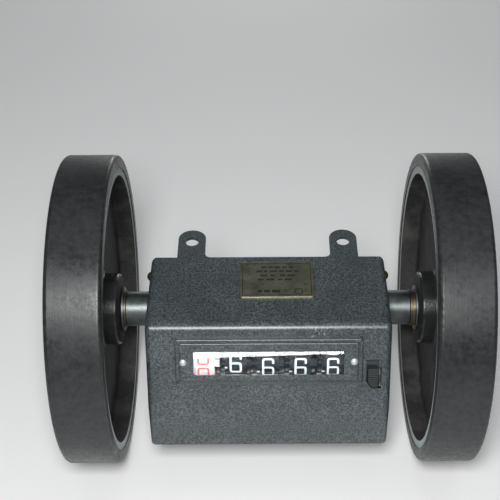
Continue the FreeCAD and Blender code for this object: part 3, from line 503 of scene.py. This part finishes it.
# strokes of each figure on a grid: x from -1 to 1, y is 0 at the foot, 1 at the middle bar, 2 at the top
FIGURES = {
    0: [([(-1, 0), (1, 0), (1, 2), (-1, 2)], True)],
    1: [([(-0.45, 1.65), (0.1, 2), (0.1, 0)], False)],
    2: [([(-1, 1.6), (-1, 2), (1, 2), (1, 1), (-1, 1), (-1, 0), (1, 0)], False)],
    3: [([(-1, 1.6), (-1, 2), (1, 2), (1, 0), (-1, 0), (-1, 0.4)], False), ([(-0.4, 1), (1, 1)], False)],
    4: [([(0.5, 0), (0.5, 2), (-1, 0.7), (1, 0.7)], False)],
    5: [([(1, 2), (-1, 2), (-1, 1), (1, 1), (1, 0), (-1, 0), (-1, 0.4)], False)],
    6: [([(1, 1.7), (1, 2), (-1, 2), (-1, 0), (1, 0), (1, 1.15), (-1, 1.15)], False)],
    7: [([(-1, 2), (1, 2), (0, 0)], False)],
    8: [([(-1, 0), (1, 0), (1, 2), (-1, 2)], True), ([(-1, 1), (1, 1)], False)],
    9: [([(-1, 0.55), (-1, 0), (1, 0), (1, 2), (-1, 2), (-1, 1), (1, 1)], False)],
}

WHITE_INK = ink("figure_white", (0.66, 0.70, 0.72), (0.48, 0.52, 0.54))
RED_INK = ink("figure_red", (0.46, 0.075, 0.085), (0.52, 0.17, 0.17))


def rim_span(node, axis_y, axis_z, radius):
    """Where a number wheel's rim starts and ends along X."""
    at = [
        v.co.x for v in NODES[node].data.vertices
        if math.hypot(v.co.y - axis_y, v.co.z - axis_z) > radius - RIM_TOLERANCE
    ]
    return min(at), max(at)


def grid_to_flat(x, y, radius):
    """Grid place to metres on the unrolled rim, from the middle bar."""
    height = (y - 1) * (LOWER if y < 1 else UPPER) * radius
    return (x * FIGURE_WIDTH / 2, height)


def figures(index):
    """All ten figures of a number wheel, upside down to the window side, with a mark beside each.

    The first wheel has red figures and no marks.
    """
    node = "number_wheel_%d" % index
    low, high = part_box(node)
    _, axis_y, axis_z = JOINTS["figure_%d_spin" % index]["pos_m"]
    radius = (high.z - low.z) / 2
    rim_left, rim_right = rim_span(node, axis_y, axis_z, radius)
    middle = (rim_left + rim_right) / 2

    strokes = Strokes()
    for figure, lines in FIGURES.items():
        turn = math.radians(NINE_AT[index - 1]) + (figure - 9) * STEP
        for points, closed in lines:
            flat = [grid_to_flat(x, y, radius) for x, y in points]
            strokes.add([(x, y + turn * radius) for x, y in flat], FIGURE_STROKE, closed, FIGURE_CORNER)
        if index > 1:
            start = middle - rim_left - MARK_LENGTH
            mark_at = (turn + UPPER / 2) * radius
            strokes.add([(start, mark_at), (start + MARK_LENGTH, mark_at)], MARK_WIDTH)

    def lay(point, height):
        angle = point[1] / radius
        reach = radius + height
        return (middle - point[0], axis_y + reach * math.cos(angle), axis_z + reach * math.sin(angle))

    vertices, faces = strokes.mesh(lay, RAISED)
    colour = RED_INK if index == 1 else WHITE_INK
    mesh_object("figures_%d" % index, vertices, faces, colour, "figure_wheel_%d" % index)


for wheel in range(1, 6):
    figures(wheel)


# ---- Nameplate ----
# sizes and places of the marks, in millimetres; each bar is its start from the middle and its length
BRASS_BORDER = 0.55
LINE_INSET, LINE_WIDTH, LINE_CORNER = 1.0, 0.22, 0.3
FIRST_ROW, ROW_PITCH, BAR_WIDTH = 2.9, 2.15, 0.75
NAMEPLATE_ROWS = [
    [(-5.0, 1.6), (-2.8, 1.4), (-0.8, 2.1), (2.0, 1.5), (4.1, 1.7)],
    [(-6.8, 2.0), (-4.3, 1.2), (-2.4, 2.6), (0.9, 1.5), (3.1, 2.2), (6.0, 1.4)],
    [(-5.6, 2.4), (-2.2, 1.6), (1.0, 1.9), (3.6, 2.6)],
    [(-6.4, 2.0), (-3.5, 2.8), (0.4, 1.5), (2.6, 2.5)],
]
FOOT_ROW, FOOT_BAR_WIDTH = 2.9, 1.3
NAMEPLATE_FOOT = [(-6.4, 1.5), (-4.2, 1.9), (-1.6, 2.6)]
BADGE = [(5.9, -1.1), (8.4, -1.1), (8.4, 1.1), (5.9, 1.1)]
BADGE_WIDTH, BADGE_CORNER = 0.35, 0.4
GROUND_HEIGHT, MARKS_HEIGHT = 0.02 * MM, 0.04 * MM
OLIVE = metal("olive_ground", (0.17, 0.18, 0.130), (0.26, 0.27, 0.20), 0.46, turned=False, stain=0.5)
DARK_FILL = ink("etched_fill", (0.008, 0.008, 0.006), (0.030, 0.030, 0.022))


def nameplate_marks():
    """Olive ground, a thin frame line and rows of plain bars in place of any lettering."""
    low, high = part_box("nameplate")
    centre = (low + high) / 2
    half_x, half_y = (high.x - low.x) / 2, (high.y - low.y) / 2

    def lay(point, height):
        return (centre.x + point[0], centre.y + point[1], high.z + height)

    ground = Strokes()
    reach = half_x - BRASS_BORDER * MM
    ground.add([(-reach, 0), (reach, 0)], 2 * (half_y - BRASS_BORDER * MM))
    mesh_object("nameplate_ground", *ground.mesh(lay, GROUND_HEIGHT), OLIVE, "housing")

    marks = Strokes()
    line_x, line_y = half_x - LINE_INSET * MM, half_y - LINE_INSET * MM
    corners = [(-line_x, -line_y), (line_x, -line_y), (line_x, line_y), (-line_x, line_y)]
    marks.add(corners, LINE_WIDTH * MM, closed=True, corner=LINE_CORNER * MM)
    for row, bars in enumerate(NAMEPLATE_ROWS):
        y = half_y - (FIRST_ROW + ROW_PITCH * row) * MM
        for start, length in bars:
            marks.add([(start * MM, y), ((start + length) * MM, y)], BAR_WIDTH * MM)
    foot = -half_y + FOOT_ROW * MM
    for start, length in NAMEPLATE_FOOT:
        marks.add([(start * MM, foot), ((start + length) * MM, foot)], FOOT_BAR_WIDTH * MM)
    badge = [(x * MM, foot + y * MM) for x, y in BADGE]
    marks.add(badge, BADGE_WIDTH * MM, closed=True, corner=BADGE_CORNER * MM)
    mesh_object("nameplate_marks", *marks.mesh(lay, MARKS_HEIGHT), DARK_FILL, "housing")


nameplate_marks()


# ---- Floor, light and camera ----
FLOOR_HALF = 12.0
FLOOR_GLOW = 0.08
WORLD_COLOUR = (0.95, 0.98, 1.0, 1.0)
WORLD_STRENGTH = 0.14

# the camera looks down at the axle; its place is a little left of the middle
ELEVATION = math.radians(42.0)
DISTANCE = 0.3835
LEFT = 0.002344
ROLL = -0.0059
SENSOR_WIDTH = 36.0
LENS = 79.4
SHIFT_X, SHIFT_Y = -0.025, 0.1159
CLIP_NEAR, CLIP_FAR = 0.01, 20.0


def floor():
    """Plain pale floor under the tyres, wide enough to fill the view, with a faint glow of its own."""
    low, _ = CAD_BOX
    mesh = bpy.data.meshes.new("floor")
    corners = ((-1, -1), (1, -1), (1, 1), (-1, 1))
    mesh.from_pydata([(x * FLOOR_HALF, y * FLOOR_HALF, low.z) for x, y in corners], [], [(0, 1, 2, 3)])
    made = bpy.data.objects.new("floor", mesh)
    bpy.context.scene.collection.objects.link(made)
    white = Surface("studio_floor", roughness=0.8)
    white.set("Base Color", white.mix(white.noise(0.3), (0.74, 0.745, 0.75), (0.77, 0.77, 0.77)))
    white.set("Emission Color", (1.0, 1.0, 1.0, 1.0))
    white.set("Emission Strength", FLOOR_GLOW)
    made.data.materials.append(white.material)


def softbox(name, place, size, power, target=(0, 0, 0), turn=0.0):
    """Area light at a place, facing the target and turned about that line by some degrees."""
    light = bpy.data.lights.new(name, "AREA")
    light.shape = "RECTANGLE"
    light.size, light.size_y = size
    light.energy = power
    made = bpy.data.objects.new(name, light)
    bpy.context.scene.collection.objects.link(made)
    aim = (Vector(target) - Vector(place)).to_track_quat("-Z", "Y").to_matrix().to_4x4()
    made.matrix_world = Matrix.Translation(place) @ aim @ Matrix.Rotation(math.radians(turn), 4, "Z")
    made.visible_camera = False


def camera():
    """At the viewing angle of a person who looks down at the counter."""
    data = bpy.data.cameras.new("camera")
    data.sensor_width = SENSOR_WIDTH
    data.lens = LENS
    data.shift_x, data.shift_y = SHIFT_X, SHIFT_Y
    data.clip_start, data.clip_end = CLIP_NEAR, CLIP_FAR
    made = bpy.data.objects.new("camera", data)
    bpy.context.scene.collection.objects.link(made)
    place = (-LEFT, -DISTANCE * math.cos(ELEVATION), DISTANCE * math.sin(ELEVATION))
    tilt = Matrix.Rotation(math.pi / 2 - ELEVATION, 4, "X")
    made.matrix_world = Matrix.Translation(place) @ tilt @ Matrix.Rotation(ROLL, 4, "Z")
    bpy.context.scene.camera = made


def world():
    """Even, faintly cool light from all sides."""
    made = bpy.data.worlds.new("studio")
    made.use_nodes = True
    background = made.node_tree.nodes["Background"]
    background.inputs["Color"].default_value = WORLD_COLOUR
    background.inputs["Strength"].default_value = WORLD_STRENGTH
    bpy.context.scene.world = made


bpy.context.scene.view_settings.view_transform = "Standard"
floor()
camera()
world()
# beside the camera, in place of its flash
softbox("lens_light", place=(-0.022, -0.2885, 0.3055), size=(0.09, 0.09), power=1.95)
softbox("key", place=(-0.10, -0.42, 0.46), size=(0.30, 0.30), power=0.12)
softbox("overhead", place=(0.05, 0.10, 0.85), size=(0.8, 0.6), power=0.75)
softbox("fill_behind", place=(0.0, 0.60, 0.04), size=(0.2, 0.1), power=0.4)
# the window's glass shows this strip as a bright band along its top
STRIP_Z = -0.0199
strip_place, strip_target = (-0.01, -0.53, STRIP_Z), (0, -0.03, STRIP_Z)
softbox("window_strip", strip_place, size=(0.15, 0.014), power=0.095, target=strip_target, turn=1.5)
